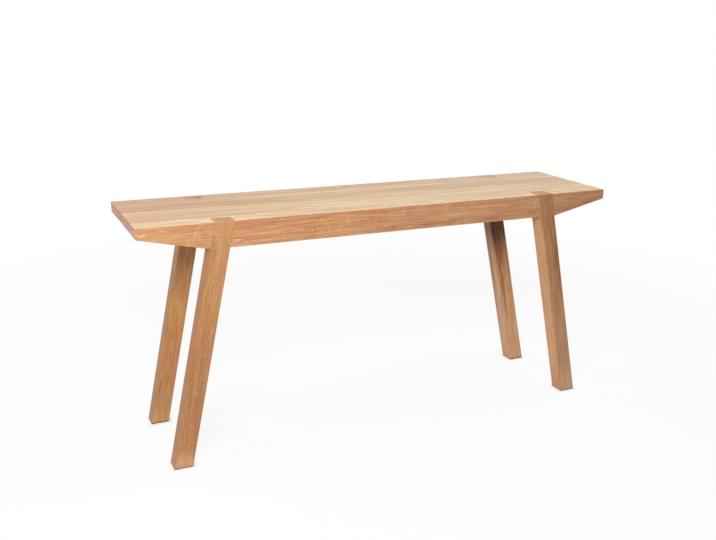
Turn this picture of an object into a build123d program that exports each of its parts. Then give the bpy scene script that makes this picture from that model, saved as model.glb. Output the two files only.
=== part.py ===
from build123d import *
from math import cos, radians, tan
import os

# Oak bench: four square legs splayed along its length, let through slanted housings in the
# faces of two edge rails, with the seat boards glued between the rails.
# Millimetres, +Z up. The origin is on the floor under the middle of the seat, +X runs along
# the bench and the front is towards -Y.

# Seat
seat_length = 1000.0
seat_depth = 250.0
seat_height = 470.0
seat_thickness = 20.0
stave_width = 44.0
least_stave_width = 20.0  # anything narrower stays on the board before it

# Edge rails
rail_thickness = 44.0
rail_height = 48.0

# Legs: square stock, leaning outwards along the bench only
leg_section = 35.0
leg_splay = 12.6  # degrees from plumb
leg_setback = 138.0  # from the seat's end to the head's outer edge, on top
foot_chamfer = 1.0

# Cross rails, under the seat between each pair of legs
cross_rail_thickness = 28.0
cross_rail_height = 26.0

# Dowels, through the rail behind each leg
dowel_diameter = 8.0
dowel_length = 54.0
dowel_in_leg = 21.0
dowel_spacing = 12.0  # one above the other, centre to centre
dowel_chamfer = 0.8
dowel_hole_spare = 1.0  # room for glue past each end

# Seat screws, up through the cross rails
screw_length = 32.0  # under the head
screw_diameter = 4.0
screw_point = 3.0
screw_head_diameter = 8.0
screw_head_height = 3.0
screw_counterbore_diameter = 10.0
screw_counterbore_depth = 8.0
drive_recess_diameter = 3.0
drive_recess_depth = 1.5

# Fits and broken edges
joint_gap = 0.15  # all round a leg in its housing
dowel_gap = 0.1  # on the radius, for dowels and screws
arris = 1.0  # radius on the edges that a hand meets
overrun = 5.0  # how far a cut runs past the face that it opens

# Worked out from the sizes above
seat_end = seat_length / 2
seat_face = seat_depth / 2
seat_underside = seat_height - seat_thickness
rail_bottom = seat_height - rail_height
rail_inner_face = seat_face - rail_thickness
splay = tan(radians(leg_splay))
leg_width = leg_section / cos(radians(leg_splay))  # along X on a level cut
leg_back_face = seat_face - leg_section
head_outer = seat_end - leg_setback
cross_rail_bottom = seat_underside - cross_rail_height
cross_rail_middle = seat_underside - cross_rail_height / 2
web_thickness = leg_back_face - rail_inner_face
dowel_in_cross_rail = dowel_length - dowel_in_leg - web_thickness


# How far the outer edge of a leg is from the middle of the bench, at a height
def leg_outer(height):
    return head_outer + (seat_height - height) * splay


# The corners of a leg seen from the front, between two heights and wider by a gap each side
def leg_outline(bottom, top, gap):
    return [
        (leg_outer(bottom) + gap, bottom),
        (leg_outer(top) + gap, top),
        (leg_outer(top) - leg_width - gap, top),
        (leg_outer(bottom) - leg_width - gap, bottom),
    ]


cross_rail_x = leg_outer(cross_rail_middle) - leg_width / 2
dowel_heights = [cross_rail_middle - dowel_spacing / 2, cross_rail_middle + dowel_spacing / 2]
dowel_places = [(cross_rail_x, height) for height in dowel_heights]

# Staves from the front rail to the rear rail: the last one is ripped to fill what is left
stave_edges = [-rail_inner_face]
while stave_edges[-1] + stave_width + least_stave_width < rail_inner_face:
    stave_edges.append(stave_edges[-1] + stave_width)
stave_edges.append(rail_inner_face)
stave_middles = [(front + back) / 2 for front, back in zip(stave_edges, stave_edges[1:])]
screw_rows = stave_middles[1:-1]

os.makedirs("parts", exist_ok=True)

# Front rail: a deep board whose ends rise to the seat's thickness
with BuildPart() as front_rail:
    with BuildSketch(Plane.XZ.offset(rail_inner_face)):
        with BuildLine():
            Polyline(
                (-seat_end, seat_height),
                (seat_end, seat_height),
                (seat_end, seat_underside),
                (leg_outer(rail_bottom), rail_bottom),
                (-leg_outer(rail_bottom), rail_bottom),
                (-seat_end, seat_underside),
                close=True,
            )
        make_face()
    extrude(amount=rail_thickness)

    # Broken edges, but none where the rail is glued to the seat boards
    inner_edges = front_rail.faces().sort_by(Axis.Y)[-1].edges()
    across = front_rail.edges().filter_by(Axis.Y).group_by(Axis.X)
    soft_edges = front_rail.faces().sort_by(Axis.Y)[0].edges()
    soft_edges += across[0] + across[-1]
    soft_edges += inner_edges.filter_by(lambda edge: edge.center().Z < seat_underside)
    fillet(soft_edges, radius=arris)

    # Slanted housings for the legs, open at the face, the top and the bottom
    with BuildSketch(Plane.XZ.offset(leg_back_face - joint_gap)):
        with BuildLine():
            Polyline(*leg_outline(rail_bottom - overrun, seat_height + overrun, joint_gap), close=True)
        make_face()
        mirror(about=Plane.YZ)
    extrude(amount=leg_section + joint_gap + overrun, mode=Mode.SUBTRACT)

    # Dowel holes through the web behind each leg
    with BuildSketch(Plane.XZ.offset(rail_inner_face - overrun)):
        with Locations(*dowel_places):
            Circle(dowel_diameter / 2 + dowel_gap)
        mirror(about=Plane.YZ)
    extrude(amount=web_thickness + 2 * overrun, mode=Mode.SUBTRACT)

with BuildPart() as rear_rail:
    mirror(front_rail.part, about=Plane.XZ)

front_rail.part.label = "front_rail"
export_step(front_rail.part, "parts/front_rail.step")
rear_rail.part.label = "rear_rail"
export_step(rear_rail.part, "parts/rear_rail.step")

# Seat boards between the rails
for number, (front, back) in enumerate(zip(stave_edges, stave_edges[1:]), start=1):
    middle = (front + back) / 2
    with BuildPart() as stave:
        with BuildSketch(Plane.XY.offset(seat_underside)):
            with Locations((0, middle)):
                Rectangle(seat_length, back - front)
        extrude(amount=seat_thickness)
        fillet(stave.edges().filter_by(Axis.Y), radius=arris)

        # Pilot holes for the seat screws
        if middle in screw_rows:
            with BuildSketch(Plane.XY.offset(seat_underside)):
                with Locations((cross_rail_x, middle), (-cross_rail_x, middle)):
                    Circle(screw_diameter / 2 + dowel_gap)
            screw_reach = screw_length - (cross_rail_height - screw_counterbore_depth)
            extrude(amount=screw_reach + dowel_hole_spare, mode=Mode.SUBTRACT)
    stave.part.label = f"seat_stave_{number}"
    export_step(stave.part, f"parts/seat_stave_{number}.step")

# Legs: the edges are broken below the rail and left square inside the housing
with BuildPart() as leg_front_right:
    with BuildSketch(Plane.XZ.offset(leg_back_face)):
        with BuildLine():
            Polyline(*leg_outline(0, rail_bottom, 0), close=True)
        make_face()
    extrude(amount=leg_section)
    down_the_leg = Axis((leg_outer(rail_bottom), 0, rail_bottom), (splay, 0, -1))
    chamfer(leg_front_right.faces().sort_by(Axis.Z)[0].edges(), length=foot_chamfer)
    fillet(leg_front_right.edges().filter_by(down_the_leg), radius=arris)

    with BuildSketch(Plane.XZ.offset(leg_back_face)):
        with BuildLine():
            Polyline(*leg_outline(rail_bottom, seat_height, 0), close=True)
        make_face()
    extrude(amount=leg_section)
    head_edges = leg_front_right.faces().sort_by(Axis.Z)[-1].edges()
    fillet(head_edges.sort_by(Axis.Y)[0], radius=arris)

    with BuildSketch(Plane.XZ.offset(leg_back_face)):
        with Locations(*dowel_places):
            Circle(dowel_diameter / 2 + dowel_gap)
    extrude(amount=dowel_in_leg + dowel_hole_spare, mode=Mode.SUBTRACT)

with BuildPart() as leg_front_left:
    mirror(leg_front_right.part, about=Plane.YZ)
with BuildPart() as leg_rear_right:
    mirror(leg_front_right.part, about=Plane.XZ)
with BuildPart() as leg_rear_left:
    mirror(leg_front_left.part, about=Plane.XZ)

leg_front_right.part.label = "leg_front_right"
export_step(leg_front_right.part, "parts/leg_front_right.step")
leg_front_left.part.label = "leg_front_left"
export_step(leg_front_left.part, "parts/leg_front_left.step")
leg_rear_right.part.label = "leg_rear_right"
export_step(leg_rear_right.part, "parts/leg_rear_right.step")
leg_rear_left.part.label = "leg_rear_left"
export_step(leg_rear_left.part, "parts/leg_rear_left.step")

# Cross rails: they lie under the seat and tie each front leg to its rear leg
with BuildPart() as cross_rail_right:
    with BuildSketch(Plane.XY.offset(cross_rail_bottom)):
        with Locations((cross_rail_x, 0)):
            Rectangle(cross_rail_thickness, 2 * rail_inner_face)
    extrude(amount=cross_rail_height)
    lower_edges = cross_rail_right.faces().sort_by(Axis.Z)[0].edges()
    fillet(lower_edges.filter_by(Axis.Y), radius=arris)

    # Dowel holes in both ends
    with BuildSketch(Plane.XZ.offset(rail_inner_face)):
        with Locations(*dowel_places):
            Circle(dowel_diameter / 2 + dowel_gap)
    extrude(amount=-(dowel_in_cross_rail + dowel_hole_spare), mode=Mode.SUBTRACT)
    with BuildSketch(Plane.XZ.offset(-rail_inner_face)):
        with Locations(*dowel_places):
            Circle(dowel_diameter / 2 + dowel_gap)
    extrude(amount=dowel_in_cross_rail + dowel_hole_spare, mode=Mode.SUBTRACT)

    # Screw holes, counterbored from below
    with BuildSketch(Plane.XY.offset(cross_rail_bottom)):
        with Locations(*[(cross_rail_x, row) for row in screw_rows]):
            Circle(screw_counterbore_diameter / 2)
    extrude(amount=screw_counterbore_depth, mode=Mode.SUBTRACT)
    with BuildSketch(Plane.XY.offset(cross_rail_bottom)):
        with Locations(*[(cross_rail_x, row) for row in screw_rows]):
            Circle(screw_diameter / 2 + dowel_gap)
    extrude(amount=cross_rail_height, mode=Mode.SUBTRACT)

with BuildPart() as cross_rail_left:
    mirror(cross_rail_right.part, about=Plane.YZ)

cross_rail_right.part.label = "cross_rail_right"
export_step(cross_rail_right.part, "parts/cross_rail_right.step")
cross_rail_left.part.label = "cross_rail_left"
export_step(cross_rail_left.part, "parts/cross_rail_left.step")

# Dowels: two at each end of each cross rail, all alike
with BuildPart() as dowels:
    with BuildSketch(Plane.XZ.offset(leg_back_face + dowel_in_leg)):
        with Locations(*dowel_places):
            Circle(dowel_diameter / 2)
        mirror(about=Plane.YZ)
    extrude(amount=-dowel_length)
    chamfer(dowels.edges().filter_by(GeomType.CIRCLE), length=dowel_chamfer)
    mirror(about=Plane.XZ)
dowels.part.label = "dowels"
export_step(dowels.part, "parts/dowels.step")

# Seat screws: cylinder heads with a hexagon recess, driven up through the cross rails
screw_seat = cross_rail_bottom + screw_counterbore_depth
with BuildPart() as screw:
    with BuildSketch(Plane.XZ):
        with BuildLine():
            Polyline(
                (0, -screw_head_height),
                (screw_head_diameter / 2, -screw_head_height),
                (screw_head_diameter / 2, 0),
                (screw_diameter / 2, 0),
                (screw_diameter / 2, screw_length - screw_point),
                (0, screw_length),
                close=True,
            )
        make_face()
    revolve(axis=Axis.Z)
    with BuildSketch(Plane.XY.offset(-screw_head_height)):
        RegularPolygon(radius=drive_recess_diameter / 2, side_count=6)
    extrude(amount=drive_recess_depth, mode=Mode.SUBTRACT)

with BuildPart() as seat_screws:
    for row in screw_rows:
        with Locations((cross_rail_x, row, screw_seat), (-cross_rail_x, row, screw_seat)):
            add(screw.part)
seat_screws.part.label = "seat_screws"
export_step(seat_screws.part, "parts/seat_screws.step")
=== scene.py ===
import math

import bmesh
import bpy
from mathutils import Matrix, Vector

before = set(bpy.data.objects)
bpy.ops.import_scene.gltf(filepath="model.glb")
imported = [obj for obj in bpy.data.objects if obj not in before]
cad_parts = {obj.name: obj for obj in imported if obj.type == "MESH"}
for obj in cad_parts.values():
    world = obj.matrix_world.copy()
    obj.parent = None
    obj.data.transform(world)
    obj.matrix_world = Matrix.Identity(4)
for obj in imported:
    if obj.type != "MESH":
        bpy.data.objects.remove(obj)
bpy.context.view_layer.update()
print("stage: frame loaded,", len(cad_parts), "nodes")


def linearColour(hexText):
    # sRGB hex to the linear values that a shader socket takes
    channels = [int(hexText[i:i + 2], 16) / 255 for i in (0, 2, 4)]
    linear = [c / 12.92 if c <= 0.04045 else ((c + 0.055) / 1.055) ** 2.4 for c in channels]
    return (*linear, 1.0)


def addNode(tree, kind, inputs=(), **settings):
    # adds one node; its inputs come in order or by name, each a value, a socket or another node
    node = tree.nodes.new("ShaderNode" + kind)
    for name, value in settings.items():
        setattr(node, name, value)
    live = [socket for socket in node.inputs if socket.enabled]
    for key, value in inputs.items() if isinstance(inputs, dict) else enumerate(inputs):
        socket = node.inputs[key] if isinstance(key, str) else live[key]
        if isinstance(value, bpy.types.Node):
            value = next(output for output in value.outputs if output.enabled)
        if isinstance(value, bpy.types.NodeSocket):
            tree.links.new(value, socket)
        else:
            socket.default_value = value
    return node


def seenDirectly(tree):
    # 1 for the camera and in reflections, 0 where a surface only lights another
    ray = addNode(tree, "LightPath")
    mirrored = addNode(tree, "Math",
                       [ray.outputs["Is Glossy Ray"], ray.outputs["Is Transmission Ray"]],
                       operation="MAXIMUM")
    return addNode(tree, "Math", [ray.outputs["Is Camera Ray"], mirrored], operation="MAXIMUM")


def newMaterial(name):
    material = bpy.data.materials.new(name)
    material.use_nodes = True
    material.node_tree.nodes.clear()
    return material


def finishNode(nodeName, material):
    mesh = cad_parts[nodeName].data
    mesh.materials.clear()
    mesh.materials.append(material)


# The photograph's viewpoint, fitted to the bench's corners.
camera = {
    "place": (-0.7337, -1.5965, 0.8131),  # metres
    "yaw": 27.006,  # degrees from +Y towards +X
    "pitch": -20.140,
    "roll": 1.141,
    "focalPixels": 856.2,
    "centrePixels": (404.27, 332.59),  # where the lens axis meets the photograph
    "framePixels": (716, 540),
    "sensorWidth": 36.0,  # mm
}


def makeCamera(settings):
    yaw, pitch, roll = (math.radians(settings[k]) for k in ("yaw", "pitch", "roll"))
    ahead = Vector((math.sin(yaw) * math.cos(pitch), math.cos(yaw) * math.cos(pitch),
                    math.sin(pitch)))
    level = Vector((math.cos(yaw), -math.sin(yaw), 0))
    upright = level.cross(ahead)
    right = level * math.cos(roll) + upright * math.sin(roll)
    up = upright * math.cos(roll) - level * math.sin(roll)
    wide, high = settings["framePixels"]
    data = bpy.data.cameras.new("photoCamera")
    data.sensor_width = settings["sensorWidth"]
    data.lens = settings["focalPixels"] / wide * settings["sensorWidth"]
    data.shift_x = (wide / 2 - settings["centrePixels"][0]) / wide
    data.shift_y = (settings["centrePixels"][1] - high / 2) / wide
    holder = bpy.data.objects.new("photoCamera", data)
    bpy.context.scene.collection.objects.link(holder)
    turned = Matrix((right, up, -ahead)).transposed().to_4x4()
    holder.matrix_world = Matrix.Translation(settings["place"]) @ turned
    bpy.context.scene.camera = holder


makeCamera(camera)
print("stage: camera placed")

# Soft studio lamps. The key is near and to the left, so the front dims towards the right end.
# The two lamps that stand low aren't mirrored: their glare would bleach the seat for anyone
# opposite.
studio = {
    "aim": (0.0, 0.0, 0.35),
    "fill": 0.06,  # the level of the white room on the object itself
    "lamps": {
        "keyLamp": {"place": (-0.90, -1.40, 1.30), "size": 0.6, "watts": 25, "mirrored": False},
        "leftLamp": {"place": (-2.18, 0.0, 0.65), "size": 0.8, "watts": 14, "mirrored": False},
        "overheadLamp": {"place": (1.0, 0.0, 2.3), "size": 1.0, "watts": 18, "mirrored": True},
        "backLamp": {"place": (-0.9, 1.5, 1.9), "size": 1.0, "watts": 12, "mirrored": True},
    },
}


def makeStudio(settings):
    for name, lamp in settings["lamps"].items():
        data = bpy.data.lights.new(name, "AREA")
        data.shape = "SQUARE"
        data.size = lamp["size"]
        data.energy = lamp["watts"]
        holder = bpy.data.objects.new(name, data)
        bpy.context.scene.collection.objects.link(holder)
        holder.location = lamp["place"]
        aim = Vector(settings["aim"]) - Vector(lamp["place"])
        holder.rotation_euler = aim.to_track_quat("-Z", "Y").to_euler()
        holder.visible_camera = False
        holder.visible_glossy = lamp["mirrored"]
    room = bpy.data.worlds.new("studioRoom")
    room.use_nodes = True
    tree = room.node_tree
    tree.nodes.clear()
    white = linearColour("FFFFFF")
    # white to the camera and in reflections, dim as a light
    lighting = addNode(tree, "Background", {"Color": white, "Strength": settings["fill"]})
    shown = addNode(tree, "Background", {"Color": white, "Strength": 1.0})
    mixed = addNode(tree, "MixShader", [seenDirectly(tree), lighting, shown])
    addNode(tree, "OutputWorld", {"Surface": mixed})
    bpy.context.scene.world = room


makeStudio(studio)

# White paper, matt, so that only a soft shadow shows on it.
floor = {
    "size": 60.0,  # metres
    "colour": "C4C3C1",
    "seenColour": "FFFFFF",
    "shadowShare": 0.1,  # how much of the lit floor the camera sees, the rest being plain white
    "shadowNear": 0.9,  # metres from the middle, where that share starts to fade
    "shadowFar": 1.9,
    # the dark line where a foot meets the floor: how much of it shows, and how far out it reaches
    "contactShare": 0.6,
    "contactReach": 0.012,
    "footCentre": (0.449, 0.1075, 0.0),  # metres, the same in all four quarters
    "footHalf": (0.018, 0.0175, 0.0),
}


def makeFloor(settings):
    shape = bmesh.new()
    bmesh.ops.create_grid(shape, x_segments=1, y_segments=1, size=settings["size"] / 2)
    mesh = bpy.data.meshes.new("paperFloor")
    shape.to_mesh(mesh)
    shape.free()
    sheet = bpy.data.objects.new("paperFloor", mesh)
    bpy.context.scene.collection.objects.link(sheet)
    paper = newMaterial("mattWhitePaper")
    tree = paper.node_tree
    point = addNode(tree, "TexCoord").outputs["Object"]
    away = addNode(tree, "VectorMath", [point], operation="LENGTH")
    share = addNode(tree, "MapRange",
                    [away, settings["shadowNear"], settings["shadowFar"],
                     settings["shadowShare"], 0.0],
                    interpolation_type="SMOOTHSTEP")
    # how far off the nearest foot's edge is
    beside = point
    for operation, *other in (("ABSOLUTE",), ("SUBTRACT", settings["footCentre"]),
                              ("ABSOLUTE",), ("SUBTRACT", settings["footHalf"]),
                              ("MAXIMUM", (0.0, 0.0, 0.0)), ("LENGTH",)):
        beside = addNode(tree, "VectorMath", [beside, *other], operation=operation)
    contact = addNode(tree, "MapRange",
                      [beside, 0.0, settings["contactReach"], settings["contactShare"], 0.0],
                      interpolation_type="SMOOTHSTEP")
    share = addNode(tree, "Math", [share, contact], operation="MAXIMUM")
    lit = addNode(tree, "BsdfDiffuse", {"Color": linearColour(settings["colour"])})
    seenLit = addNode(tree, "BsdfDiffuse", {"Color": linearColour(settings["seenColour"])})
    white = addNode(tree, "Emission", {"Color": linearColour("FFFFFF"), "Strength": 1.0})
    shown = addNode(tree, "MixShader", [share, white, seenLit])
    mixed = addNode(tree, "MixShader", [seenDirectly(tree), lit, shown])
    addNode(tree, "OutputMaterial", {"Surface": mixed})
    mesh.materials.append(paper)


makeFloor(floor)
print("stage: studio and floor made")

# Oiled oak, planed and sanded: rings and fibres along each board, open pores that read as short
# dark dashes, pale ray flecks where a face runs along the rays, darker thirsty end grain, and a
# seat top painted paler, as painted light from above.
# Real oak has rings 1.5 to 5 mm apart, fibres finer than a hair and pores 0.3 mm wide. They are
# drawn wider, because a pixel of the picture covers about 2 mm of wood and twice that across
# the seat.
oak = {
    # noise patterns: mm along the grain and across it, then detail and roughness
    "patterns": {
        "ripple": (120.0, 12.0, 1.0, 0.5),
        "fibre": (75.0, 2.3, 3.0, 0.65),
        "pore": (40.0, 1.5, 0.0, 0.5),
        "broad": (340.0, 11.0, 2.0, 0.5),
        "blotch": (80.0, 16.0, 1.0, 0.5),
    },
    # where a pattern lays a tone: which pattern, the value at which it starts, and at which it
    # is full
    "covers": {
        "streak": ("broad", 0.52, 0.68),
        "pale": ("broad", 0.46, 0.34),
        "warm": ("blotch", 0.5, 0.64),
        "gold": ("blotch", 0.5, 0.36),
        "pore": ("pore", 0.58, 0.72),
        "fibre": ("fibre", 0.3, 0.7),
    },
    "driftSize": (300.0, 85.0),  # how slowly the grain wanders, mm
    "drift": 7.0,  # mm
    "turn": (0.0, 0.0, 0.0),  # degrees, from the bench's axes to the board's
    "tilt": (0.0, 0.0, 0.0),  # degrees by which the tree stood askew in the board
    # yearly rings
    "ringWidth": 5.0,  # mm
    "unevenSpan": 3,  # rings over which their width changes
    "uneven": 2.5,  # how far it throws them off, in rings
    "summer": (0.2, 0.85),  # the part of a ring over which it turns dense and dark
    "winter": (0.9, 1.0),  # and over which it ends
    "porous": (0.3, 0.6, 1.0, 0.3),  # from and to, then the share of the pores before and after
    "yearSpread": (0.8, 0.2),  # how much the rings differ in tone, and the least of it
    # ray flecks: mm along the grain, through the ray, outwards from the pith
    "fleckSize": (4.0, 1.6, 18.0),
    "fleckSlant": 0.3,  # mm along for each mm outwards
    "fleckCover": (0.56, 0.64, 0.0, 0.5),  # noise from and to, then how much shows at each
    "swaySize": (24.0, 20.0, 1.0),  # mm along and outwards over which the rays sway
    "sway": (9.0, 30.0),  # mm round the ring and along
    "flockSize": (90.0, 40.0, 1.0),  # mm along and outwards
    "flockCover": (0.46, 0.6),
    # each tone on the sides, and on the top, where it is painted paler as painted light from
    # above
    "tones": {"early": "DCA270", "late": "C08655", "streak": "B87648", "pale": "E2B585",
              "warm": "D39A78", "gold": "DAA568", "pore": "8E5636", "fleck": "EBC297"},
    "topTones": {"early": "E9C69B", "late": "DAB487", "streak": "CDA078", "pale": "F1D7AE",
                 "warm": "E2BA9C", "gold": "E6CB98", "pore": "B98A66", "fleck": "F4DCB8"},
    "shares": {"late": 0.6, "streak": 0.5, "pale": 0.45, "warm": 0.6, "gold": 0.5, "pore": 0.35,
               "fleck": 0.3},
    "fibreTint": "D9C2AC",  # the darkest fibres, as a filter over the wood
    "top": False,  # true on the boards that make the seat's top
    "topFrom": (0.5, 0.95),  # how far up a face looks, where the top's tones start and are full
    # end grain
    "endFrom": (0.6, 0.9),  # how far along the grain a face looks, where it starts and is full
    "endLight": "CFA379",
    "endDark": "9F704C",
    "endRim": None,  # just below the top: tone, how much of it, and how deep in mm
    "rimFull": 1.0,  # mm below the top, from where up it is full
    "spokeSize": (0.8, 16.0, 1.0),  # the rays cut across: mm round the ring and outwards
    "spokeCover": (0.5, 0.66, 0.0, 0.3),
    # slow changes through the board: own axis, from mm, to mm, share, tone reached, and then,
    # for one that shows on one face only, the axis across that face, from mm and to mm
    "bands": (),
    # single strokes, by the axis across the face they lie on: tone, share, mm along, mm across,
    # length, width, lean in degrees, and bow, the ends' offset in half widths
    "marks": {},
    "markFade": (0.4, 1.15),  # where a stroke starts to fade and is gone, in half widths
    "markShake": 3.0,  # mm by which a stroke's outline wavers either way
    "markShakeScale": 0.12,  # wavers per mm
    "arrisWearAndLight": ("EBC297", 0.2),  # the tone the arrises take, and how much: rubbed wear, and where the tone is paler, a painted highlight along them
    "arrisToneReach": (0.8, 3.6),  # mm from the arris
    "arrisToneRagged": 2.0,  # mm by which the fibres break up its edge
    # glue lines: own axis that they close, how dark they are, and from where along the board,
    # or None where they run its full length
    "joint": None,
    "jointReach": (0.3, 1.5),  # mm from the board's face
    "jointFade": 1.0,  # mm over which they start
    "footDark": None,  # darker at the very foot: tone, how much, and how high in mm
    "footDarkFull": 1.0,  # mm up, as far as it is at its darkest
    "roughness": 0.46,
    "roughBy": {"fibre": 0.12, "pore": 0.2, "fleck": -0.08},
    "relief": {"dense": 0.5, "pore": -1.6},  # how far they stand up, next to the fibres
    "bump": (0.4, 0.0002),  # strength, and metres
    "ior": 1.5,
    "specular": 0.4,
}


def waver(tree, point, sampled, scale, reach):
    # moves a point by up to the reach either way, by the noise at the place sampled
    noise = addNode(tree, "TexNoise", {"Vector": sampled, "Scale": scale, "Detail": 1.0})
    centred = addNode(tree, "VectorMath", [noise.outputs["Color"], (0.5, 0.5, 0.5)],
                      operation="SUBTRACT")
    return addNode(tree, "VectorMath", [centred, [2 * r for r in reach], point],
                   operation="MULTIPLY_ADD")


def findSpot(tree, settings):
    # where the shaded spot lies in the board and in the tree, and which way it faces
    place = addNode(tree, "TexCoord").outputs
    # the board's own millimetres, with the grain along X
    own = addNode(tree, "Mapping",
                  {"Vector": place["Object"], "Location": settings["centre"],
                   "Rotation": [math.radians(a) for a in settings["turn"]],
                   "Scale": (0.001, 0.001, 0.001)},
                  vector_type="TEXTURE")
    # the tree's: each board is its own stretch of it, and the grain wanders a little
    grown = addNode(tree, "Mapping",
                    {"Vector": own, "Location": (settings["stretch"], 0, 0),
                     "Rotation": [math.radians(a) for a in settings["tilt"]]})
    along, across = settings["driftSize"]
    far = addNode(tree, "VectorMath", [grown, (1 / along, 1 / across, 1 / across)],
                  operation="MULTIPLY")
    bent = waver(tree, grown, far, 1.0, (0, settings["drift"], settings["drift"]))
    # round the pith: distance outwards, and millimetres round the ring
    tube = addNode(tree, "VectorMath", [bent, (0, *settings["pith"])], operation="SUBTRACT")
    tubePart = addNode(tree, "SeparateXYZ", [tube]).outputs
    flat = addNode(tree, "VectorMath", [tube, (0, 1, 1)], operation="MULTIPLY")
    angle = addNode(tree, "Math", [tubePart["Y"], tubePart["Z"]], operation="ARCTAN2")
    endwise = addNode(tree, "VectorMath", [place["Normal"], settings["grain"]],
                      operation="DOT_PRODUCT")
    return {
        "own": own,
        "ownPart": addNode(tree, "SeparateXYZ", [own]).outputs,
        "height": addNode(tree, "SeparateXYZ", [place["Object"]]).outputs["Z"],
        "tube": tube,
        "lengthwise": tubePart["X"],
        "outwards": addNode(tree, "VectorMath", [flat], operation="LENGTH"),
        "ringwise": addNode(tree, "Math", [angle, math.hypot(*settings["pith"])],
                            operation="MULTIPLY"),
        "upward": addNode(tree, "SeparateXYZ", [place["Normal"]]).outputs["Z"],
        "endwise": addNode(tree, "Math", [endwise], operation="ABSOLUTE"),
    }


def growRings(tree, settings, spot, ripple):
    # uneven in width and in tone: pale porous wood, then dark dense wood, then a sharp end
    width = settings["ringWidth"]
    age = addNode(tree, "Math", [spot["outwards"], settings["unevenSpan"] * width],
                  operation="DIVIDE")
    uneven = addNode(tree, "TexNoise", {"W": age, "Scale": 1.0}, noise_dimensions="1D")
    year = addNode(tree, "Math", [uneven, settings["uneven"], ripple], operation="MULTIPLY_ADD")
    year = addNode(tree, "Math", [spot["outwards"], 1 / width, year], operation="MULTIPLY_ADD")
    season = addNode(tree, "Math", [year], operation="FRACT")
    summer = addNode(tree, "MapRange", [season, *settings["summer"], 0.0, 1.0],
                     interpolation_type="SMOOTHSTEP")
    winter = addNode(tree, "MapRange", [season, *settings["winter"], 1.0, 0.0],
                     interpolation_type="SMOOTHSTEP")
    porous = addNode(tree, "MapRange", [season, *settings["porous"]],
                     interpolation_type="SMOOTHSTEP")
    dense = addNode(tree, "Math", [summer, winter], operation="MULTIPLY")
    yearTone = addNode(tree, "TexWhiteNoise", [addNode(tree, "Math", [year], operation="FLOOR")],
                       noise_dimensions="1D")
    yearTone = addNode(tree, "Math", [yearTone, *settings["yearSpread"]],
                       operation="MULTIPLY_ADD")
    late = addNode(tree, "Math", [dense, yearTone], operation="MULTIPLY")
    return dense, late, porous


def growFlecks(tree, settings, spot):
    # thin sheets that stand out from the pith and sway, in loose flocks
    slanted = addNode(tree, "Math",
                      [spot["outwards"], settings["fleckSlant"], spot["lengthwise"]],
                      operation="MULTIPLY_ADD")
    sway = addNode(tree, "VectorMath",
                   [addNode(tree, "CombineXYZ", [slanted, spot["outwards"]]),
                    settings["swaySize"]], operation="DIVIDE")
    sway = addNode(tree, "TexNoise", {"Vector": sway, "Scale": 1.0, "Detail": 2.0})
    aside, along = settings["sway"]
    sheet = addNode(tree, "Math", [sway, aside, spot["ringwise"]], operation="MULTIPLY_ADD")
    curled = addNode(tree, "Math", [sway, along, slanted], operation="MULTIPLY_ADD")
    rays = addNode(tree, "CombineXYZ", [curled, sheet, spot["outwards"]])
    rays = addNode(tree, "VectorMath", [rays, settings["fleckSize"]], operation="DIVIDE")
    rays = addNode(tree, "TexNoise", {"Vector": rays, "Scale": 1.0, "Detail": 1.0})
    rays = addNode(tree, "MapRange", [rays, *settings["fleckCover"]],
                   interpolation_type="SMOOTHSTEP")
    flock = addNode(tree, "VectorMath",
                    [addNode(tree, "CombineXYZ", [spot["lengthwise"], spot["outwards"]]),
                     settings["flockSize"]], operation="DIVIDE")
    flock = addNode(tree, "TexNoise", {"Vector": flock, "Scale": 1.0, "Detail": 0.0})
    flock = addNode(tree, "MapRange", [flock, *settings["flockCover"], 0.0, 1.0],
                    interpolation_type="SMOOTHSTEP")
    return addNode(tree, "Math", [rays, flock], operation="MULTIPLY")


def drawMarks(tree, settings, spot):
    # larger flecks and lines, each at its own place on the face
    strokes = []
    for axis, marks in settings["marks"].items():
        face = addNode(tree, "CombineXYZ", [spot["ownPart"]["X"], 0.0, spot["ownPart"][axis]])
        shake = settings["markShake"]
        face = waver(tree, face, face, settings["markShakeScale"], (shake, 0.0, shake))
        for tone, share, markX, markY, length, width, lean, bow in marks:
            stroke = addNode(tree, "Mapping",
                             {"Vector": face, "Location": (markX, 0, markY),
                              "Rotation": (0, math.radians(lean), 0),
                              "Scale": (length / 2, 1.0, width / 2)},
                             vector_type="TEXTURE")
            part = addNode(tree, "SeparateXYZ", [stroke]).outputs
            bowed = addNode(tree, "Math", [part["X"], part["X"]], operation="MULTIPLY")
            bowed = addNode(tree, "Math", [bowed, -bow, part["Z"]], operation="MULTIPLY_ADD")
            reach = addNode(tree, "CombineXYZ", [part["X"], bowed])
            reach = addNode(tree, "VectorMath", [reach], operation="LENGTH")
            drawn = addNode(tree, "MapRange", [reach, *settings["markFade"], share, 0.0],
                            interpolation_type="SMOOTHSTEP")
            strokes.append((tone, drawn))
    return strokes


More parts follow.
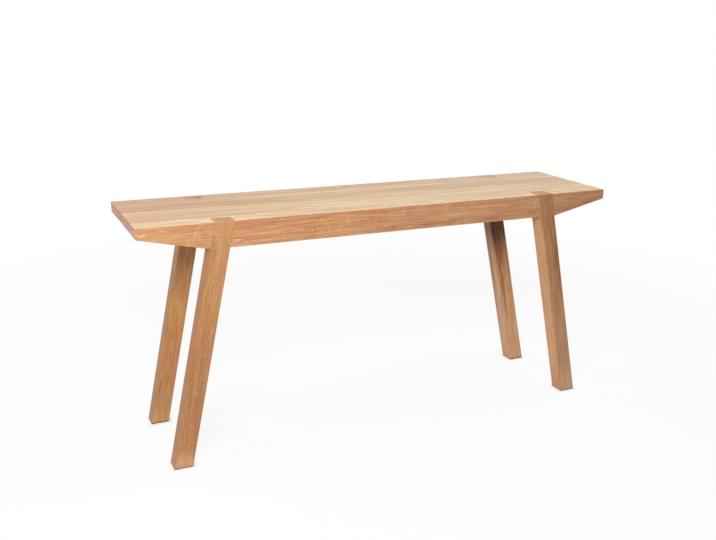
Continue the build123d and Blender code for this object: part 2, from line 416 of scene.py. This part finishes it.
def layTones(tree, settings, spot, cover):
    # from the whole board down to its pores, then its strokes and its slow changes
    colour = {tone: linearColour(hexText) for tone, hexText in settings["tones"].items()}
    # painted light: faces that look up take the paler top tones, as if lit from above
    if settings["top"]:
        above = addNode(tree, "MapRange", [spot["upward"], *settings["topFrom"], 0.0, 1.0],
                        interpolation_type="SMOOTHSTEP")
        for tone, litTopTone in settings["topTones"].items():
            colour[tone] = addNode(tree, "Mix", [above, colour[tone], linearColour(litTopTone)],
                                   data_type="RGBA")
    look = colour["early"]
    for tone in ("late", "warm", "gold", "streak", "pale", "pore", "fleck"):
        share = addNode(tree, "Math", [cover[tone], settings["shares"][tone]],
                        operation="MULTIPLY")
        look = addNode(tree, "Mix", [share, look, colour[tone]], data_type="RGBA")
    for tone, drawn in drawMarks(tree, settings, spot):
        look = addNode(tree, "Mix", [drawn, look, colour[tone]], data_type="RGBA")
    for axis, start, stop, share, tone, *oneFace in settings["bands"]:
        reach = addNode(tree, "MapRange", [spot["ownPart"][axis], start, stop, 0.0, share],
                        interpolation_type="SMOOTHSTEP")
        if oneFace:
            depth, inside, outside = oneFace
            near = addNode(tree, "MapRange",
                           [spot["ownPart"][depth], inside, outside, 0.0, 1.0],
                           interpolation_type="SMOOTHSTEP")
            reach = addNode(tree, "Math", [reach, near], operation="MULTIPLY")
        look = addNode(tree, "Mix", [reach, look, linearColour(tone)], data_type="RGBA")
    return look


def cutEnds(tree, settings, spot, cover, look):
    # end grain: the rings cut across, and fine rays that cross them
    cut = addNode(tree, "Mix",
                  [cover["late"], linearColour(settings["endLight"]),
                   linearColour(settings["endDark"])], data_type="RGBA")
    spokes = addNode(tree, "VectorMath",
                     [addNode(tree, "CombineXYZ", [spot["ringwise"], spot["outwards"]]),
                      settings["spokeSize"]], operation="DIVIDE")
    spokes = addNode(tree, "TexNoise", {"Vector": spokes, "Scale": 1.0, "Detail": 1.0})
    spokes = addNode(tree, "MapRange", [spokes, *settings["spokeCover"]],
                     interpolation_type="SMOOTHSTEP")
    cut = addNode(tree, "Mix", [spokes, cut, linearColour(settings["tones"]["pale"])],
                  data_type="RGBA")
    if settings["endRim"]:
        tone, share, depth = settings["endRim"]
        top = settings["half"][2]
        rim = addNode(tree, "MapRange",
                      [spot["ownPart"]["Z"], top - depth, top - settings["rimFull"], 0.0, share],
                      interpolation_type="SMOOTHSTEP")
        cut = addNode(tree, "Mix", [rim, cut, linearColour(tone)], data_type="RGBA")
    ends = addNode(tree, "MapRange", [spot["endwise"], *settings["endFrom"], 0.0, 1.0],
                   interpolation_type="SMOOTHSTEP")
    return addNode(tree, "Mix", [ends, look, cut], data_type="RGBA")


def toneArrisesAndFoot(tree, settings, spot, cover, look):
    # the gaps to the board's faces, in millimetres; the middle one is that to the nearest arris
    inward = addNode(tree, "VectorMath", [spot["own"]], operation="ABSOLUTE")
    inward = addNode(tree, "VectorMath", [settings["half"], inward], operation="SUBTRACT")
    gap = addNode(tree, "SeparateXYZ", [inward]).outputs
    less = addNode(tree, "Math", [gap["X"], gap["Y"]], operation="MINIMUM")
    more = addNode(tree, "Math", [gap["X"], gap["Y"]], operation="MAXIMUM")
    more = addNode(tree, "Math", [more, gap["Z"]], operation="MINIMUM")
    edge = addNode(tree, "Math", [less, more], operation="MAXIMUM")
    edge = addNode(tree, "Math", [cover["fibre"], settings["arrisToneRagged"], edge],
                   operation="MULTIPLY_ADD")
    # the arris tone: rubbed wear, and where it is paler, a painted highlight along the arris
    tone, share = settings["arrisWearAndLight"]
    arrisToned = addNode(tree, "MapRange", [edge, *settings["arrisToneReach"], share, 0.0],
                     interpolation_type="SMOOTHSTEP")
    look = addNode(tree, "Mix", [arrisToned, look, linearColour(tone)], data_type="RGBA")
    if settings["joint"]:
        # the glue line to the next board, drawn about 1 mm wide
        axis, share, start = settings["joint"]
        line = addNode(tree, "MapRange", [gap[axis], *settings["jointReach"], share, 0.0],
                       interpolation_type="SMOOTHSTEP")
        if start is not None:
            closed = addNode(tree, "MapRange",
                             [spot["ownPart"]["X"], start, start + settings["jointFade"],
                              0.0, 1.0])
            line = addNode(tree, "Math", [line, closed], operation="MULTIPLY")
        look = addNode(tree, "Mix", [line, look, linearColour(settings["tones"]["pore"])],
                       data_type="RGBA")
    if settings["footDark"]:
        tone, share, reach = settings["footDark"]
        low = addNode(tree, "MapRange",
                      [spot["height"], settings["footDarkFull"] / 1000, reach / 1000, share, 0.0],
                      interpolation_type="SMOOTHSTEP")
        look = addNode(tree, "Mix", [low, look, linearColour(tone)], data_type="RGBA")
    return look


def makeOak(name, board):
    settings = {**oak, **board}
    for part in ("patterns", "tones", "topTones", "shares"):
        settings[part] = {**oak[part], **board.get(part, {})}
    wood = newMaterial(name)
    tree = wood.node_tree
    spot = findSpot(tree, settings)
    grain = {}
    for pattern, (along, across, detail, rough) in settings["patterns"].items():
        sized = addNode(tree, "VectorMath", [spot["tube"], (1 / along, 1 / across, 1 / across)],
                        operation="MULTIPLY")
        grain[pattern] = addNode(tree, "TexNoise", {"Vector": sized, "Scale": 1.0,
                                                    "Detail": detail, "Roughness": rough})

    # how strongly each tone shows here
    dense, late, porous = growRings(tree, settings, spot, grain["ripple"])
    cover = {"dense": dense, "late": late, "fleck": growFlecks(tree, settings, spot)}
    for tone, (pattern, low, high) in settings["covers"].items():
        cover[tone] = addNode(tree, "MapRange", [grain[pattern], low, high, 0.0, 1.0],
                              interpolation_type="SMOOTHSTEP")
    cover["pore"] = addNode(tree, "Math", [cover["pore"], porous], operation="MULTIPLY")

    # colour: the sides and the top, the ends, the fibres over them all, and what use adds
    look = layTones(tree, settings, spot, cover)
    look = cutEnds(tree, settings, spot, cover, look)
    bare = addNode(tree, "Math", [1.0, cover["fibre"]], operation="SUBTRACT")
    look = addNode(tree, "Mix", [bare, look, linearColour(settings["fibreTint"])],
                   data_type="RGBA", blend_type="MULTIPLY")
    look = toneArrisesAndFoot(tree, settings, spot, cover, look)

    # sheen and relief
    rough = settings["roughness"] - settings["roughBy"]["fibre"] / 2
    for part, amount in settings["roughBy"].items():
        rough = addNode(tree, "Math", [cover[part], amount, rough], operation="MULTIPLY_ADD")
    raised = cover["fibre"]
    for part, amount in settings["relief"].items():
        raised = addNode(tree, "Math", [cover[part], amount, raised], operation="MULTIPLY_ADD")
    strength, distance = settings["bump"]
    bump = addNode(tree, "Bump", {"Strength": strength, "Distance": distance, "Height": raised})
    skin = addNode(tree, "BsdfPrincipled",
                   {"Base Color": look, "Roughness": rough, "IOR": settings["ior"],
                    "Specular IOR Level": settings["specular"], "Normal": bump})
    addNode(tree, "OutputMaterial", {"Surface": skin})
    return wood


# What the boards of the seat's top have in common, and then the staves among them.
seatTop = {
    # their upward faces painted paler, as painted light from above
    "grain": (1.0, 0.0, 0.0), "top": True, "specular": 0.5,
    "endLight": "C69C76", "endDark": "7A401E", "endRim": ("96561A", 0.9, 5.0),
}
stave = {
    "ringWidth": 4.5, "joint": ("Y", 0.3, None),
    "tones": {"early": "E6AE7C", "late": "C89060", "streak": "C08052", "pale": "EEC592",
              "warm": "DE9E7A", "gold": "E0AE72"},
    "shares": {"fleck": 0.12, "warm": 0.5, "gold": 0.4, "pale": 0.65, "streak": 0.6},
    "patterns": {"fibre": (230.0, 4.0, 4.0, 0.7), "broad": (420.0, 8.0, 3.0, 0.55),
                 "blotch": (130.0, 20.0, 2.0, 0.5)},
}

# Each board: its centre in metres, its half sizes in millimetres with the grain first, where the
# pith lies from that centre (mm across and up), and which stretch of the tree it came from (mm).
boards = {
    "front_rail": {
        **seatTop, "centre": (0, -0.103, 0.446), "half": (500, 22, 24), "pith": (-20, -150),
        "stretch": 0, "ringWidth": 6.0, "fibreTint": "E3CAAF",
        "tones": {"early": "E8B282", "late": "C88C62", "streak": "BD7D55", "pale": "F0C99C",
                  "warm": "E29E7E", "gold": "E5B376", "pore": "97623F", "fleck": "FFE0B4"},
        "topTones": {"early": "FAE4BC", "late": "D8B68C", "streak": "CCA074", "pale": "FFF2D2",
                     "warm": "F2D2B8", "gold": "F0DCAC", "pore": "A87C5A", "fleck": "FAE8C8"},
        "shares": {"fleck": 0.55, "late": 0.5, "streak": 0.45, "warm": 0.55, "gold": 0.3},
        "bands": (("X", -400, -470, 0.25, "F4CE9A"),  # paler at the left end
                  ("X", 330, 490, 0.25, "B07054", "Y", -16, -21),  # its front redder to the right
                  ("X", -160, -40, 0.09, "C8A89A", "Y", -16, -21),
                  ("X", -380, -470, 0.15, "D8B890", "Z", 22, 23.5),  # its top duller at the ends
                  ("X", 300, 390, 0.15, "D8B880", "Z", 22, 23.5)),
        "marks": {
            "Z": (("fleck", 0.28, -398, 7, 40, 6, -66, -1.3),
                  ("fleck", 0.9, -490, 9.5, 18, 5.5, -8, 1.5),
                  ("fleck", 0.55, -452, 15.5, 22, 3, 4, 0.0),
                  ("fleck", 0.3, -428, 6, 30, 6, 8, 0.5),
                  ("fleck", 0.85, -324, -12.5, 20, 4.5, -8, 0.5),
                  ("fleck", 0.45, -310, -15, 18, 4, 40, 0.5),
                  ("fleck", 0.4, -292, -16, 16, 3.5, 45, 0.0),
                  ("fleck", 0.3, -246, -5, 28, 4, 37, 0.8),
                  ("fleck", 0.3, -234.5, -8.5, 26, 4, -80, 1.0),
                  ("fleck", 0.3, -262, 2, 20, 2.6, 0, 0.0),
                  ("fleck", 0.35, -190, 6, 46, 2.6, 2, 0.0),
                  ("pale", 0.4, 11, 11, 24, 12, 88, 0.0),
                  ("fleck", 0.5, 25, -18, 30, 3, -3, 0.0),
                  ("fleck", 0.35, 197, 10.5, 24, 3, -20, 0.0),
                  ("fleck", 0.6, 249, 6.5, 34, 3.5, -17, 0.5),
                  ("pale", 0.35, 318, 2, 34, 6, -80, 0.0),
                  # warm patches between the flecks, and a few dark lines
                  ("warm", 0.8, -430, 15, 44, 8, 0, 0.0),
                  ("warm", 0.6, -266, 17, 84, 5, 0, 0.2),
                  ("warm", 0.6, -296, -4, 50, 24, 0, 0.0),
                  ("streak", 0.4, -175, -18, 44, 5, 0, 0.0),
                  ("warm", 0.8, -110, 19.5, 64, 5, 0, 0.0),
                  ("warm", 0.6, -41, -4, 20, 24, 0, 0.0),
                  ("warm", 0.7, 217, -18, 56, 6, 0, 0.0),
                  ("warm", 0.6, 434, 16, 30, 7, -10, 0.0),
                  ("warm", 0.7, 478, 9, 24, 12, 0, 0.0),
                  ("pore", 0.15, -165, 17, 70, 3, 0, 0.3),
                  ("pore", 0.4, -13, -14, 34, 3, 0, 0.0),
                  ("warm", 0.6, 249, -5, 60, 10, 0, 0.0)),
            "Y": (("pale", 0.8, -378, -6, 26, 20, 0, 0.0),
                  ("pale", 0.7, -308, -8, 24, 16, 0, 0.0),
                  ("pale", 0.7, 316, -8, 22, 16, 0, 0.0)),
        },
    },
    "rear_rail": {
        **seatTop, "centre": (0, 0.103, 0.446), "half": (500, 22, 24), "pith": (-40, -140),
        "stretch": 2600, "ringWidth": 6.0, "arrisWearAndLight": ("C09670", 0.2),
        "tones": {"early": "E8B282", "late": "C88C62", "streak": "BD7D55", "pale": "F0C99C",
                  "warm": "DDA07C", "gold": "E0B078"},
        "topTones": {"early": "E5C6A4", "late": "D8B594", "streak": "D4AE8E", "pale": "F6E8C8",
                     "warm": "E4BEA8", "gold": "E4C89C"},
        # here and on the staves: browner to the left, and a slight change to the right
        "bands": (("X", -200, -460, 0.45, "CA9664"), ("X", 200, 440, 0.25, "ECDCC0")),
    },
    "seat_stave_1": {
        **seatTop, **stave, "centre": (0, -0.059, 0.46), "half": (500, 22, 10),
        "pith": (-24, -62), "stretch": 5300,
        "topTones": {"early": "FBE8C4", "late": "E0C29A", "streak": "D2AE88", "pale": "FFF6D6",
                     "warm": "F2D0B4", "gold": "F2DCA8"},
        "bands": (("X", -100, -460, 0.6, "D29864"), ("X", 250, 440, 0.2, "ECC8A0")),
    },
    "seat_stave_2": {
        **seatTop, **stave, "centre": (0, -0.015, 0.46), "half": (500, 22, 10),
        "pith": (-10, -70), "stretch": 7900,
        "topTones": {"early": "F6DFBA", "late": "DAB890", "streak": "CEA680", "pale": "FFF4D2",
                     "warm": "ECC6A8", "gold": "EDD29C"},
        "bands": (("X", -120, -420, 0.25, "DCA074"), ("X", 200, 440, 0.25, "DCC49C")),
    },
    "seat_stave_3": {
        **seatTop, **stave, "centre": (0, 0.029, 0.46), "half": (500, 22, 10),
        "pith": (-16, -74), "stretch": 10400,
        "tones": {"early": "DCA678", "late": "C0885E", "streak": "B47852", "pale": "E6BC90",
                  "warm": "D2967A", "gold": "D6A46E"},
        "topTones": {"early": "ECCBA2", "late": "C09674", "streak": "AA7856", "pale": "FAE2BC",
                     "warm": "DCAC8C", "gold": "E0BE8C"},
        "bands": (("X", -100, -340, 0.42, "BE865A"), ("X", 10, 90, 0.1, "B09070"),
                  ("X", 200, 440, 0.38, "E6D0B4")),
    },
    "seat_stave_4": {
        **seatTop, **stave, "centre": (0, 0.066, 0.46), "half": (500, 15, 10),
        "pith": (-20, -80), "stretch": 12800,
        "topTones": {"early": "FDE8C6", "late": "D0AC84", "streak": "C09870", "pale": "FFF8DA",
                     "warm": "EEC8AC", "gold": "ECD4A0"},
        "bands": (("X", -60, -440, 0.5, "CC9458"), ("X", 200, 440, 0.3, "FCF0D8")),
    },
}

# What the legs have in common. Each one's own X runs up it, and its own Z points to the left.
legStock = {
    "splay": 12.6,  # degrees, the lean along the bench
    "middle": (0.3966, 0.1075, 0.235),  # metres, in the quarter where X and Y are positive
    "half": (260, 17.5, 17.5),  # past the head and the foot, whose edges don't take the arris tone
    "fibreTint": "EED4B8",
    "arrisWearAndLight": ("B98A62", 0.15),
    "specular": 0.3,
    "roughness": 0.52,
    "joint": ("Z", 0.2, 193.0),
    "footDark": ("4A3424", 0.75, 3.5),
    "shares": {"late": 0.4, "streak": 0.4, "pale": 0.35, "warm": 0.5, "gold": 0.45,
               "fleck": 0.15},
}
# The quarter is the leg's side of the bench and its front or rear, as the signs of X and Y.
legs = {
    "leg_front_left": {
        "quarter": (-1, -1), "pith": (20, -90), "stretch": 15600, "tilt": (0.0, 2.5, 1.0),
        "fibreTint": "F2DCC2", "joint": ("Z", 0.05, 193.0), "arrisWearAndLight": ("CE9A6A", 0.12),
        "tones": {"early": "D6A375", "late": "C08A5C", "streak": "B67A4E", "pale": "E0B486",
                  "warm": "D49872", "gold": "D8A269", "fleck": "EEC89A"},
        "shares": {"late": 0.35, "streak": 0.3, "pale": 0.3, "warm": 0.5, "gold": 0.4,
                   "fleck": 0.6},
        "bands": (("X", 150, 225, 0.1, "F4CA94"), ("X", 130, -60, 0.22, "A2663F"),
                  # paler towards the foot, as painted light from the floor
                  ("X", -120, -200, 0.2, "E4AC7C"), ("X", -200, -230, 0.6, "F8CCA8"),
                  # painted shade: its left side darker, below the rail
                  ("Z", 16.3, 17.4, 0.8, "A2724C", "X", 196, 190)),
        "marks": {
            "Y": (("pore", 0.6, 186, 3, 30, 38, 0, 0.0),
                  ("streak", 0.35, -36, 0, 70, 30, 0, 0.0)),
            "Z": (("warm", 0.5, 215, -4, 40, 16, 0, 0.0),
                  ("warm", 0.7, -133, -2, 60, 14, 0, 0.0),
                  ("pore", 0.4, -110, 8, 44, 3, 1, 0.0)),
        },
    },
    "leg_front_right": {
        "quarter": (1, -1), "pith": (-80, -50), "stretch": 17700, "tilt": (0.0, -1.5, 1.0),
        "endLight": "C8A474", "endDark": "A07E50",
        "tones": {"early": "F2C49C", "late": "D49C70", "streak": "BC7442", "pale": "FAD4A8",
                  "warm": "E8AA82", "gold": "EDB87C"},
        "shares": {"late": 0.5, "streak": 0.55, "pale": 0.5, "warm": 0.65, "gold": 0.65,
                   "fleck": 0.15},
        # the bands that grow paler down towards the foot are painted light from the floor
        "bands": (("Y", -12.0, -17.5, 0.35, "8E5C3C"), ("X", 80, -140, 0.38, "F8D4AC"),
                  ("X", -150, -230, 0.55, "FFDAB4"), ("X", 160, 230, 0.2, "B07A4C"),
                  # its left side plainer, and darker towards the foot
                  ("Z", 14.5, 17.4, 0.85, "EABE94"),
                  ("X", -140, -225, 0.45, "C88A60", "Z", 14.5, 17.4)),
        "marks": {
            "Z": (("pore", 0.4, 176, -12, 44, 5, 0, 0.0),
                  ("pore", 0.3, 92, -11, 60, 8, 1, 0.0),
                  ("pore", 0.28, 22, -12, 100, 6, 1, 0.0),
                  ("warm", 0.6, 45, -2, 50, 18, 0, 0.0),
                  ("gold", 0.4, -85, -2, 64, 10, 0, 0.0),
                  ("gold", 0.3, -187, -4, 70, 14, 0, 0.0),
                  ("warm", 0.6, -150, -1, 170, 26, 0, 0.0)),
        },
    },
    "leg_rear_left": {
        "quarter": (-1, 1), "pith": (60, 80), "stretch": 19900, "tilt": (0.0, 2.0, -1.0),
        "footDark": ("4A3424", 0.75, 5.0),
        "tones": {"early": "E2B07E", "late": "C8915D", "streak": "C08154", "pale": "EEC99C",
                  "warm": "DEA278", "gold": "E0AA6C"},
        # painted light: paler up under the seat, lifting the shade there; then darker below it
        "bands": (("X", 60, 110, 0.4, "FAD0A0"), ("X", 30, -40, 0.15, "A0683E"),
                  # paler at the foot, as painted light from the floor; then painted shade, its
                  # left side darker
                  ("X", -190, -233, 0.4, "F2C698"), ("Z", 16.3, 17.4, 0.8, "9E7A58")),
    },
    "leg_rear_right": {
        "quarter": (1, 1), "pith": (-50, 90), "stretch": 22100, "tilt": (0.0, -2.0, 2.0),
        "footDark": ("4A3424", 0.75, 5.0), "endLight": "D6BCA0", "endDark": "B09478",
        "tones": {"early": "F6C59C", "late": "D0946A", "streak": "B4683E", "pale": "FFD8AC",
                  "warm": "E8A880", "gold": "EEB878", "pore": "6E3E28", "fleck": "FFF2CC"},
        "shares": {"late": 0.5, "streak": 0.55, "pale": 0.5, "warm": 0.65, "gold": 0.65,
                   "fleck": 0.1},
        # painted light from the floor: paler from its middle down to the foot; then its left side
        # greyer
        "bands": (("X", 0, -190, 0.85, "FFD2A4"), ("Z", 14.5, 17.4, 0.5, "D2B29C"),
                  # painted shade: its front and its left side dark up under the seat, where the
                  # seat shades them; then its left side darker towards its rear edge
                  ("X", 50, 120, 0.75, "421C0C", "Y", -6, -15),
                  ("X", 45, 125, 0.5, "46200F", "Z", 8, 17),
                  ("Y", 10, 17, 0.35, "7A5240", "Z", 8, 17)),
        "marks": {
            "Y": (("fleck", 1.0, -42, -10, 30, 7, -22, 1.2),
                  ("fleck", 1.0, -54, -4, 30, 7, 14, -1.2),
                  ("fleck", 0.9, -28, -3, 12, 5, 60, 0.0),
                  ("fleck", 0.7, 20, -5, 110, 4, 3, 0.5),
                  ("fleck", 0.5, -90, 0, 60, 4, 4, 0.0),
                  ("pore", 0.65, -115, 13.5, 250, 9, 0.5, 0.0),
                  ("pore", 0.45, 40, 9, 130, 9, 1, 0.5),
                  ("pore", 0.5, -10, 1, 80, 4, -6, 0.5)),
            "Z": (("pore", 0.4, 66, 6, 110, 26, 2, 0.0),
                  ("pore", 0.4, -5, 10, 90, 7, 4, 1.0),
                  ("streak", 0.75, -62, 8.5, 190, 9, 1, 0.5),
                  ("pore", 0.3, -110, -7, 80, 4, 4, 0.0),
                  ("pale", 0.5, 100, -6, 60, 4, 0, 0.0),
                  ("gold", 0.6, -200, 0, 60, 16, 0, 0.0)),
        },
    },
}
for name, leg in legs.items():
    side, end = leg["quarter"]
    x, y, z = legStock["middle"]
    lean = math.radians(legStock["splay"])
    boards[name] = {
        **legStock, **leg, "centre": (side * x, end * y, z),
        "turn": (0.0, -90 - side * legStock["splay"], 0.0),
        "grain": (-side * math.sin(lean), 0.0, math.cos(lean)),
    }

# The cross rails, out of sight under the seat, lie across the bench and are a little duller.
crossRail = {
    "half": (81, 14, 13), "turn": (0.0, 0.0, 90.0), "grain": (0.0, 1.0, 0.0),
    "pith": (50, -40), "roughness": 0.58,
}
boards["cross_rail_left"] = {**crossRail, "centre": (-0.3554, 0.0, 0.437), "stretch": 23600}
boards["cross_rail_right"] = {**crossRail, "centre": (0.3554, 0.0, 0.437), "stretch": 25400}

for name, board in boards.items():
    finishNode(name, makeOak("oiledOak_" + name, board))
print("stage: oak boards finished")

# Beech dowels, turned and left plain: pale pinkish brown with short dark ray dashes.
beech = {
    "base": "D9B48C",
    "dash": "A87B55",
    "dashSize": (6.0, 0.5),  # mm along the dowel and across it
    "dashCover": (0.52, 0.7, 0.0, 0.7),
    "roughness": 0.6,
    "ior": 1.5,
    "bump": (0.3, 0.0001),  # strength, and metres
}


def makeBeech(settings):
    wood = newMaterial("plainBeech")
    tree = wood.node_tree
    along, across = settings["dashSize"]
    own = addNode(tree, "Mapping",
                  {"Vector": addNode(tree, "TexCoord").outputs["Object"],
                   "Scale": (1000 / across, 1000 / along, 1000 / across)})
    dash = addNode(tree, "TexNoise", {"Vector": own, "Scale": 1.0, "Detail": 1.0})
    shown = addNode(tree, "MapRange", [dash, *settings["dashCover"]],
                    interpolation_type="SMOOTHSTEP")
    look = addNode(tree, "Mix",
                   [shown, linearColour(settings["base"]), linearColour(settings["dash"])],
                   data_type="RGBA")
    strength, distance = settings["bump"]
    bump = addNode(tree, "Bump", {"Strength": strength, "Distance": distance, "Height": dash})
    skin = addNode(tree, "BsdfPrincipled",
                   {"Base Color": look, "Roughness": settings["roughness"],
                    "IOR": settings["ior"], "Normal": bump})
    addNode(tree, "OutputMaterial", {"Surface": skin})
    return wood


finishNode("dowels", makeBeech(beech))

# Zinc-plated steel screws: a cool grey metal, a little cloudy where the plating is thin.
zinc = {
    "bright": "C9CCD0",
    "dull": "9EA1A3",
    "cloudSize": 1.6,  # mm
    "cloudDetail": 3.0,
    "roughness": (0.28, 0.45),  # where it is bright, and where it is dull
    "bump": (0.2, 0.00005),  # strength, and metres
}


def makeZinc(settings):
    metal = newMaterial("zincPlatedSteel")
    tree = metal.node_tree
    own = addNode(tree, "Mapping",
                  {"Vector": addNode(tree, "TexCoord").outputs["Object"],
                   "Scale": (1000 / settings["cloudSize"],) * 3})
    cloud = addNode(tree, "TexNoise",
                    {"Vector": own, "Scale": 1.0, "Detail": settings["cloudDetail"]})
    look = addNode(tree, "Mix",
                   [cloud, linearColour(settings["bright"]), linearColour(settings["dull"])],
                   data_type="RGBA")
    rough = addNode(tree, "MapRange", [cloud, 0.0, 1.0, *settings["roughness"]])
    strength, distance = settings["bump"]
    bump = addNode(tree, "Bump", {"Strength": strength, "Distance": distance, "Height": cloud})
    skin = addNode(tree, "BsdfPrincipled",
                   {"Base Color": look, "Metallic": 1.0, "Roughness": rough, "Normal": bump})
    addNode(tree, "OutputMaterial", {"Surface": skin})
    return metal


finishNode("seat_screws", makeZinc(zinc))
print("stage: dowels and screws finished")

bpy.context.scene.view_settings.view_transform = "Standard"
